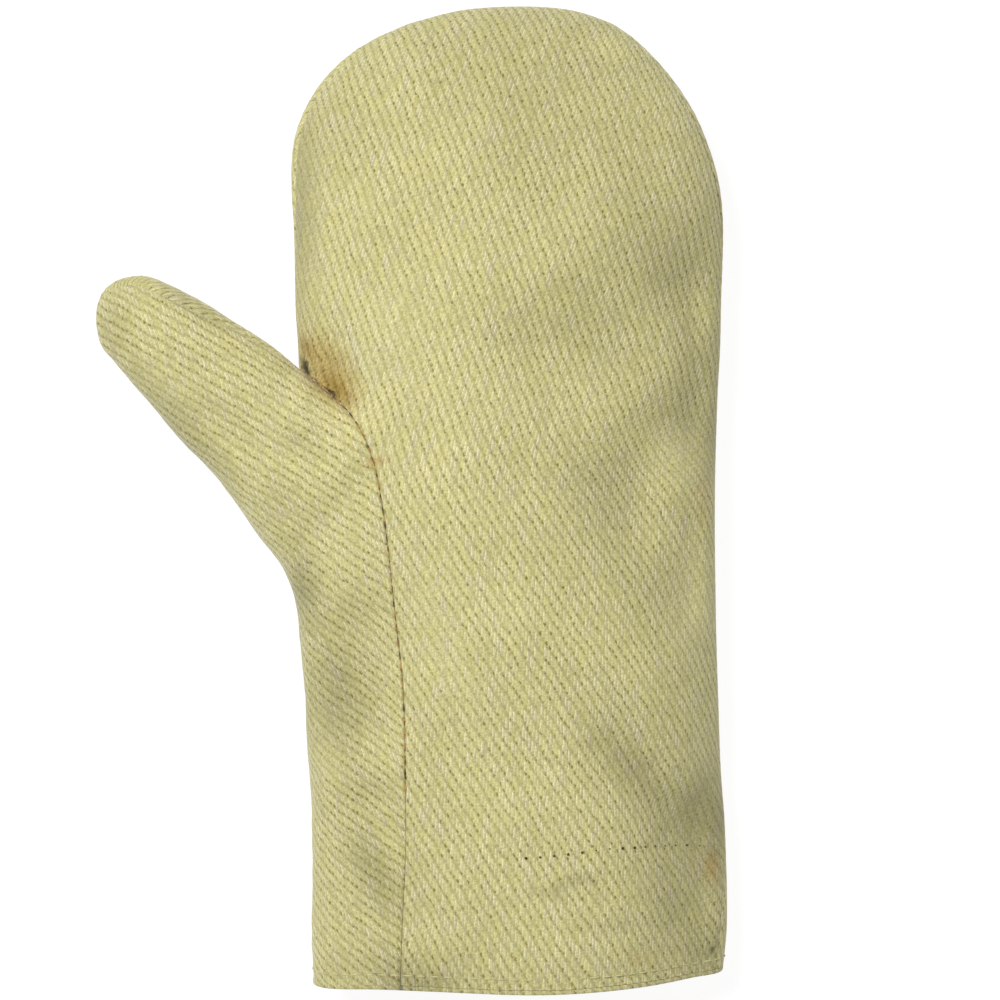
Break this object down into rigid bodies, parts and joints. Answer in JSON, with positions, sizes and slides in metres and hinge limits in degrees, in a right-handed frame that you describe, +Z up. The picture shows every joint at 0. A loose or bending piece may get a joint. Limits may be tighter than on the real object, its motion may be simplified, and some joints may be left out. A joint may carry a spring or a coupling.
{
  "type": "heat resistant mitten",
  "caption": "Long cuffed heat resistant mitten of heavy twill cloth with a separate thumb, lying on its back, hollow and open at the cuff.",
  "frame": {"origin": "on the surface that the mitten rests on, in the middle of its width and length", "axes": "+X from the thumb side to the little finger side, +Y from the cuff to the finger end, +Z up from the resting face to the shown face"},
  "size_m": [0.2133, 0.3285, 0.0512],
  "materials": {
    "palm_cloth": "pale yellow undyed twill, matt with a slight fibre sheen, olive gold in the hollows of the weave",
    "back_cloth": "the same pale yellow twill",
    "thumb_cloth": "the same pale yellow twill, cut across the grain",
    "hem_cloth": "the same twill folded over and stitched"
  },
  "bodies": {
    "root": {"palm_panel": "palm_cloth", "back_panel": "back_cloth", "thumb_panel": "thumb_cloth", "cuff_hem": "hem_cloth"}
  },
  "joints": []
}
